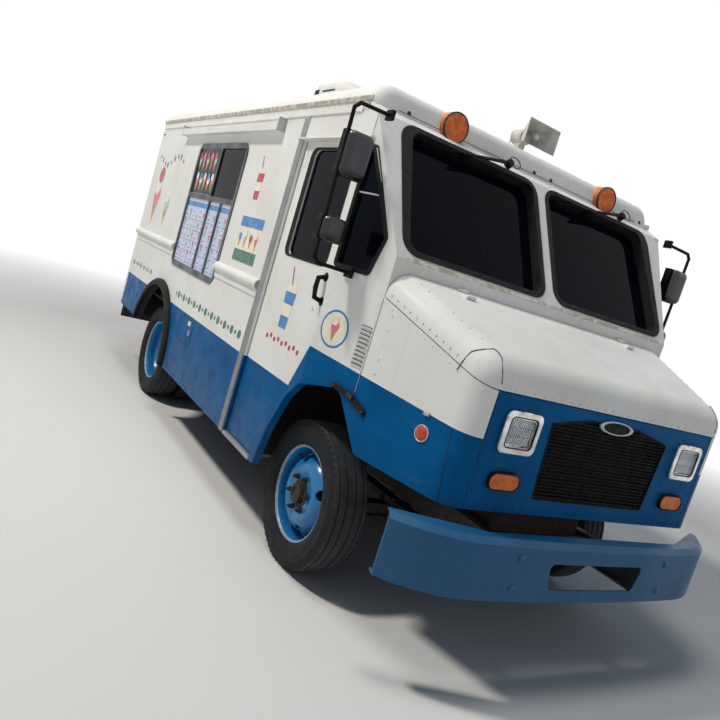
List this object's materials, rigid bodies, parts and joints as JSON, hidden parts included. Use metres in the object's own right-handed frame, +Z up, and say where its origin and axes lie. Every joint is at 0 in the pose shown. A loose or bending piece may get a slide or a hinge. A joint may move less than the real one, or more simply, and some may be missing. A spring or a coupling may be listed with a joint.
{
  "type": "ice cream truck",
  "caption": "Walk-in step van fitted out as an ice cream truck, with sliding cab doors, clamshell hood, serving window, roof loudspeaker and roof air conditioner",
  "frame": {"origin": "On the road, below the middle of the overall length and width.", "axes": "+Z up; the front of the truck faces -Y, so +Y runs to the rear; the kerb side with the serving window is -X, the driver's side +X."},
  "size_m": [2.8002, 5.735, 3.0299],
  "materials": {
    "body_white": "old white paint with dust and rust specks",
    "body_blue": "deep blue paint, slightly dull",
    "wheel_blue": "bright blue paint with worn edges",
    "black_steel": "dusty black paint",
    "cast_parts": "rough, rusty in places",
    "bare_aluminium": "dull mill finish",
    "bright_trim": "bright plated",
    "black_plastic": "matte black",
    "amber_plastic": "ribbed amber lens",
    "red_plastic": "ribbed red lens",
    "panel_plastic": "weathered moulded plastic",
    "seat_vinyl": "worn vinyl",
    "trim_rubber": "aged black rubber",
    "tyre_rubber": "dusty rubber",
    "window_glass": "dark tinted glass"
  },
  "bodies": {
    "truck": {"chassis_frame": "black_steel", "leaf_springs": "black_steel", "front_axle_beam": "black_steel", "rear_axle": "cast_parts", "engine_block": "cast_parts", "drive_shaft": "black_steel", "fuel_tank": "black_steel", "exhaust_pipe": "black_steel", "floor_deck": "bare_aluminium", "step_treads": "bare_aluminium", "side_wall_kerb": "body_white", "side_wall_driver": "body_white", "cab_front": "body_white", "cab_glass": "window_glass", "nose_shell": "body_blue", "grille": "black_plastic", "headlamps": "bright_trim", "amber_lamps": "amber_plastic", "roof_shell": "body_white", "rear_frame": "body_white", "rear_bumper": "black_steel", "tail_lamps": "red_plastic", "front_bumper": "body_blue", "wheel_flares": "trim_rubber", "serving_window_frame": "bare_aluminium", "serving_glass": "window_glass", "menu_panels": "panel_plastic", "serving_counter": "bare_aluminium", "awning_box": "body_white", "side_mouldings": "bare_aluminium", "mirrors": "black_plastic", "wipers": "black_plastic", "side_latches": "trim_rubber", "roof_air_conditioner": "panel_plastic", "roof_vent": "panel_plastic", "horn_speaker": "panel_plastic", "dashboard": "black_plastic", "driver_seat": "seat_vinyl", "steering_wheel": "black_plastic"},
    "knuckle_left": {"knuckle_left": "cast_parts"},
    "knuckle_right": {"knuckle_right": "cast_parts"},
    "tie_rod": {"tie_rod": "black_steel"},
    "wheel_front_left": {"tyre_front_left": "tyre_rubber", "rim_front_left": "wheel_blue"},
    "wheel_front_right": {"tyre_front_right": "tyre_rubber", "rim_front_right": "wheel_blue"},
    "wheels_rear_left": {"tyres_rear_left": "tyre_rubber", "rims_rear_left": "wheel_blue"},
    "wheels_rear_right": {"tyres_rear_right": "tyre_rubber", "rims_rear_right": "wheel_blue"},
    "cab_door_kerb": {"cab_door_kerb": "body_white", "door_glass_kerb": "window_glass"},
    "cab_door_driver": {"cab_door_driver": "body_white", "door_glass_driver": "window_glass"},
    "rear_door_left": {"rear_door_left": "body_white", "rear_glass_left": "window_glass"},
    "rear_door_right": {"rear_door_right": "body_white", "rear_glass_right": "window_glass"},
    "hood": {"hood_lid": "body_white"}
  },
  "joints": [
    {"name": "steer_left", "type": "hinge", "parent": "truck", "child": "knuckle_left", "pos_m": [0.8, -1.7025, 0.4055], "axis": [0, 0, 1], "range_deg": [-35, 35]},
    {"name": "steer_right", "type": "hinge", "parent": "truck", "child": "knuckle_right", "pos_m": [-0.8, -1.7025, 0.4055], "axis": [0, 0, 1], "range_deg": [-35, 35]},
    {"name": "tie_rod_swing", "type": "hinge", "parent": "knuckle_left", "child": "tie_rod", "pos_m": [0.8, -1.5425, 0.3375], "axis": [0, 0, 1], "range_deg": [-35, 35]},
    {"name": "spin_front_left", "type": "hinge", "parent": "knuckle_left", "child": "wheel_front_left", "pos_m": [0.952, -1.7025, 0.4055], "axis": [1, 0, 0], "continuous": true},
    {"name": "spin_front_right", "type": "hinge", "parent": "knuckle_right", "child": "wheel_front_right", "pos_m": [-0.952, -1.7025, 0.4055], "axis": [1, 0, 0], "continuous": true},
    {"name": "spin_rear_left", "type": "hinge", "parent": "truck", "child": "wheels_rear_left", "pos_m": [0.86, 1.4725, 0.4055], "axis": [1, 0, 0], "continuous": true},
    {"name": "spin_rear_right", "type": "hinge", "parent": "truck", "child": "wheels_rear_right", "pos_m": [-0.86, 1.4725, 0.4055], "axis": [1, 0, 0], "continuous": true},
    {"name": "slide_door_kerb", "type": "slide", "parent": "truck", "child": "cab_door_kerb", "axis": [0, 1, 0], "range_m": [0, 0.78]},
    {"name": "slide_door_driver", "type": "slide", "parent": "truck", "child": "cab_door_driver", "axis": [0, 1, 0], "range_m": [0, 0.78]},
    {"name": "rear_door_left_hinge", "type": "hinge", "parent": "truck", "child": "rear_door_left", "pos_m": [1.17, 2.7555, 1.657], "axis": [0, 0, 1], "range_deg": [-110, 0]},
    {"name": "rear_door_right_hinge", "type": "hinge", "parent": "truck", "child": "rear_door_right", "pos_m": [-1.17, 2.7555, 1.657], "axis": [0, 0, 1], "range_deg": [0, 110]},
    {"name": "hood_hinge", "type": "hinge", "parent": "truck", "child": "hood", "pos_m": [0, -2.0375, 1.706], "axis": [1, 0, 0], "range_deg": [-55, 0]}
  ],
  "couplings": [
    {"joint": "steer_right", "follows": "steer_left", "ratio": 1},
    {"joint": "tie_rod_swing", "follows": "steer_left", "ratio": -1}
  ]
}
